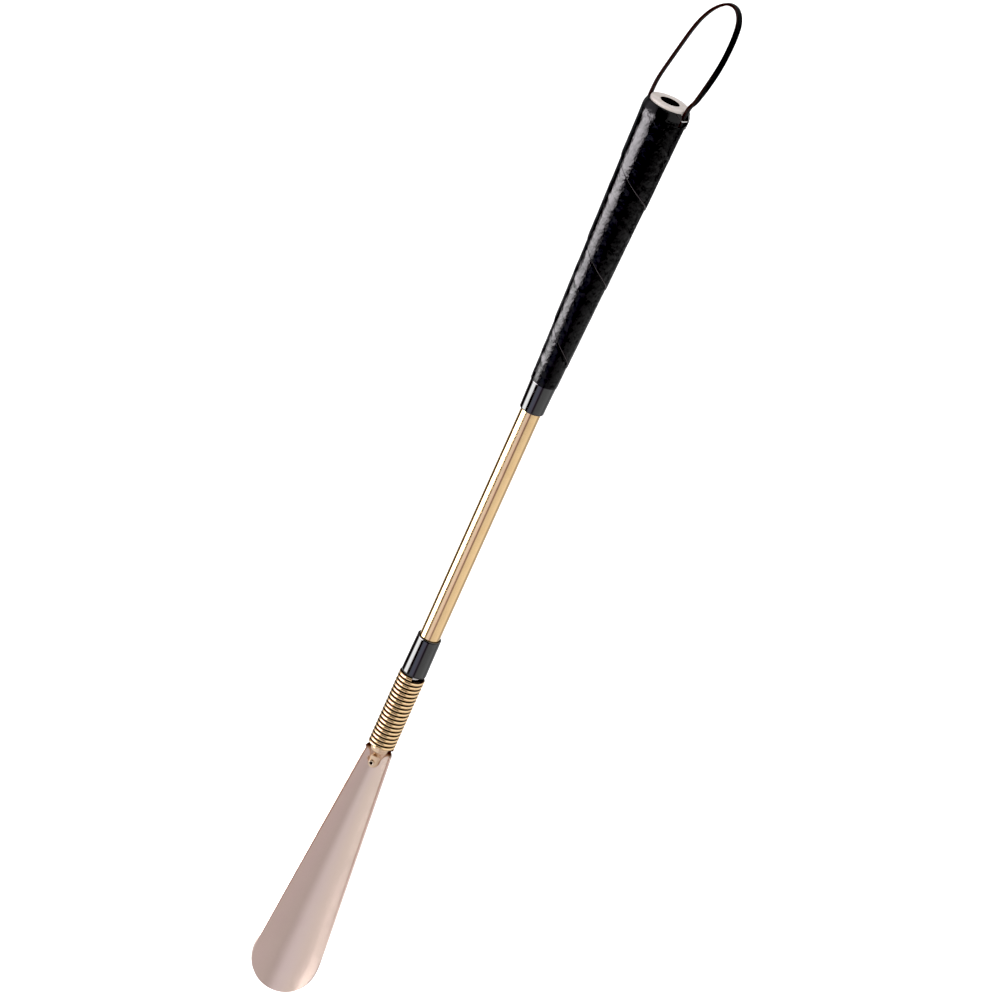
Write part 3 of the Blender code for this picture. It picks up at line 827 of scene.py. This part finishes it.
def make_core():
    core = turned("core", [
        (CORE_BORE, CORE_START), (CORE_RADII[0], CORE_START), (CORE_RADII[1], LENGTH),
        (MOUTH_BORE, LENGTH), (MOUTH_BORE, MOUTH_START), (CORE_BORE, MOUTH_START)],
        [core_board(), leather_and_bore_shade("bore_stain", (0.004, 0.003, 0.003))], 0.35 * MM)
    # painted shade: the faces inside the handle end's bore get a near-black material
    for polygon in core.data.polygons:
        out = sqrt(polygon.center.x**2 + (polygon.center.z - AXIS_HEIGHT) ** 2)
        polygon.material_index = 1 if out < MOUTH_BORE + 0.12 * MM else 0
    stand(core, "handle", ["handle_core"])


def strip_phase(station, angle):
    """Distance up the handle from the overlap below, at an angle about the shaft."""
    turns = (station - FIRST_SEAM) / STRIP_PITCH - angle / (2 * pi)
    return turns % 1 * STRIP_PITCH


def wrap_radius(station, angle, up_strip):
    """Each turn of the strip lies on the one below it, so its lower edge stands proud."""
    share = (station - WRAP_START) / (WRAP_END - WRAP_START)
    radius = WRAP_RADII[0] + (WRAP_RADII[1] - WRAP_RADII[0]) * share
    step = STRIP_STEP * (0.5 + 0.5 * share)
    radius += step * (1 - up_strip / STRIP_PITCH) ** 1.5
    off_ridge = (up_strip - RIDGE_PLACE) / RIDGE_WIDTH
    radius += RIDGE_HEIGHT * (0.6 + 0.4 * sin(3 * angle)) / (1 + off_ridge * off_ridge)
    place = Vector((cos(angle), sin(angle), station * WOBBLE_PER_METRE))
    return radius + WOBBLE_HEIGHT * noise.noise(place * 1.3)


def grooved_radius(station, angle, up_strip):
    """The wrap's radius with a fine groove along the strip's edge."""
    if up_strip == 0:
        return wrap_radius(station, angle, STRIP_PITCH) - SEAM_UNDER
    radius = wrap_radius(station, angle, up_strip)
    if up_strip < SEAM_START:
        return radius - SEAM_EDGE
    if up_strip > SEAM_END:
        return radius - SEAM_LIP
    return radius


def make_wrap():
    """The wound strip as one closed sleeve whose rows follow the strip's edges."""
    rows = [(turn, d * MM) for turn in STRIP_TURNS for d in STRIP_ROWS]
    verts, edge = [], []
    for c in range(WRAP_COLUMNS):
        angle = 2 * pi * c / WRAP_COLUMNS
        start = WRAP_START - START_LAP + START_SLANT * (0.5 - 0.5 * cos(angle))
        for turn, up_strip in rows:
            station = FIRST_SEAM + STRIP_PITCH * (turn + angle / (2 * pi)) + up_strip
            station = min(max(station, start), WRAP_END)
            clamped = station in (start, WRAP_END)
            if clamped:
                radius = wrap_radius(station, angle, strip_phase(station, angle))
            else:
                radius = grooved_radius(station, angle, up_strip)
            if station == start:
                radius -= START_PRESS
            to_end = (WRAP_END - station) / RIM_LENGTH
            if to_end < 1:
                radius -= RIM_ROLL * (1 - to_end) ** 2
            verts.append(off_axis(station, radius, angle))
            # marks the strip's lower edge for the painted highlight
            edge.append(1.0 if up_strip <= SEAM_HIGHLIGHT and not clamped else 0.0)
    count = len(rows)
    faces = []
    for c in range(WRAP_COLUMNS):
        shift = len(STRIP_ROWS) if c == WRAP_COLUMNS - 1 else 0
        here, there = c * count, (c + 1) % WRAP_COLUMNS * count
        for r in range(count - 1 - shift):
            faces.append((here + r, here + r + 1, there + r + 1 + shift, there + r + shift))
    rings = end_rings(verts, edge, count)
    for ring, after in zip(rings, rings[1:]):
        for c in range(WRAP_COLUMNS):
            d = (c + 1) % WRAP_COLUMNS
            faces.append((ring[c], after[c], after[d], ring[d]))
    return close_wrap(verts, faces, edge)


def add_ring(verts, edge, station, radii):
    first = len(verts)
    for c, radius in enumerate(radii):
        verts.append(off_axis(station, radius, 2 * pi * c / WRAP_COLUMNS))
        edge.append(0.0)
    return list(range(first, len(verts)))


def end_rings(verts, edge, count):
    """Rings from the outer surface's end, over the rolled rim and back through the bore."""
    rings = [[c * count + count - 1 for c in range(WRAP_COLUMNS)]]
    outer = [(verts[i] - on_axis(WRAP_END)).length for i in rings[0]]
    bore_end = core_radius(WRAP_END) + WRAP_BORE
    for inward, beyond in RIM_PATH:
        radii = [radius + (bore_end - radius) * inward for radius in outer]
        rings.append(add_ring(verts, edge, WRAP_END + beyond * MM, radii))
    for station, radius in ((CORE_START, core_radius(CORE_START) + WRAP_BORE),
                            (WRAP_START + 2 * MM, START_BORE)):
        rings.append(add_ring(verts, edge, station, [radius] * WRAP_COLUMNS))
    rings.append([c * count for c in range(WRAP_COLUMNS)])
    return rings


def close_wrap(verts, faces, edge):
    """Merges the rows that meet, closes the sleeve and cuts the slot for the thong."""
    mesh = bpy.data.meshes.new("wrap_strip")
    mesh.from_pydata(verts, [], faces)
    layer = mesh.attributes.new("edge", "FLOAT", "POINT")
    layer.data.foreach_set("value", edge)
    work = bmesh.new()
    work.from_mesh(mesh)
    bmesh.ops.remove_doubles(work, verts=work.verts, dist=1e-6)
    bmesh.ops.dissolve_degenerate(work, edges=work.edges, dist=1e-7)
    bmesh.ops.recalc_face_normals(work, faces=work.faces)
    work.to_mesh(mesh)
    work.free()
    mesh.materials.append(wrap_leather())
    mesh.shade_smooth()
    wrap = bpy.data.objects.new("wrap_strip", mesh)
    bpy.context.collection.objects.link(wrap)
    inner, outer = SLOT_RADII
    corners = [(-SLOT_WIDTH / 2, inner), (SLOT_WIDTH / 2, inner),
               (SLOT_WIDTH / 2, outer), (-SLOT_WIDTH / 2, outer)]
    slot = [[(x, y, z) for x, z in corners] for y in (-SLOT_DEPTH - 2 * MM, 0.01)]
    cut_away(wrap, slot, facing_out(FRONT_ANGLE, LENGTH))
    wrap.data.set_sharp_from_angle(angle=radians(40))
    stand(wrap, "handle", ["handle_wrap"])


def make_staple():
    """A bent wire over the thong's front end, its points in the wrap."""
    straight, shoulder = STAPLE_HALF_SPAN - STAPLE_BEND, STAPLE_CROWN - STAPLE_BEND
    corner = [(straight + STAPLE_BEND * cos(a), shoulder + STAPLE_BEND * sin(a))
              for a in [pi / 2 * i / 6 for i in range(7)]]
    right = [(STAPLE_HALF_SPAN, STAPLE_POINT), *corner]
    left = [(-x, z) for x, z in reversed(right)]
    path = [Vector((x, 0, z)) for x, z in right + left]
    section = [(STAPLE_WIRE * cos(a), STAPLE_WIRE * sin(a))
               for a in [pi * k / 8 for k in range(16)]]
    staple = swept("staple", path, section, lambda i: Vector((0, 1, 0)),
                   [plated_steel("staple_plating")])
    staple.data.transform(facing_out(FRONT_ANGLE, STAPLE_STATION))
    stand(staple, "handle", ["loop_staple"])


# ---------------------------------------------------------------- thong

def smooth_route(points, steps):
    """Catmull-Rom curve through the points."""
    ends = [2 * points[0] - points[1], *points, 2 * points[-1] - points[-2]]
    path = []
    for a, b, c, d in zip(ends, ends[1:], ends[2:], ends[3:]):
        for i in range(steps):
            t = i / steps
            path.append(0.5 * (2 * b + (c - a) * t + (2 * a - 5 * b + 4 * c - d) * t**2
                               + (3 * b - a - 3 * c + d) * t**3))
    return path + [points[-1]]


def make_thong():
    """Flat thong from pocket to pocket; its front leg twists to show its flat on top."""
    route = [Vector((x * MM, END_Y + beyond * MM, height * MM))
             for x, beyond, height in THONG_ROUTE]
    path = smooth_route(route, 10)
    roll_start, roll_end = REAR_ANGLE - pi, FRONT_ANGLE

    def across(i):
        share = i / (len(path) - 1)
        roll = roll_start + (roll_end - roll_start) * share
        into_twist = (share - TWIST_START) / (TWIST_END - TWIST_START)
        if 0 < into_twist < 1:
            roll += TWIST * sin(pi * into_twist) ** 2
        return Vector((-sin(roll), 0, cos(roll)))

    w, t = THONG_WIDTH / 2, THONG_THICK / 2
    section = rounded([(-w, -t), (w, -t), (w, t), (-w, t)], THONG_ROUNDING)
    thong = swept("thong", path, section, across, [
        leather_and_bore_shade("thong_black", (0.0012, 0.001, 0.001)),
        leather_and_bore_shade("thong_cut_edge", (0.008, 0.002, 0.001))])
    count = len(section)
    middles = [(Vector(section[k]) + Vector(section[(k + 1) % count])) / 2
               for k in range(count)]
    for polygon in thong.data.polygons[:count * (len(path) - 1)]:
        if abs(middles[polygon.index % count].x) > w - 0.2 * MM:
            polygon.material_index = 1
    stand(thong, "handle", ["hang_loop"])


# ---------------------------------------------------------------- all together

make_camera()
make_sky()
make_key()
make_floor()
set_display()
make_thong()
make_blade()
make_neck(brass("neck_brass", (0.78, 0.58, 0.40), 0.16, 0.03))
make_eyelet()
make_spring(spring_brass())
make_shaft(gloss_plastic())
make_core()
make_wrap()
make_staple()

plug = frame["nodes"]["spring_plug"]
plug.data.materials.clear()
plug.data.materials.append(plated_steel("plug_plating"))
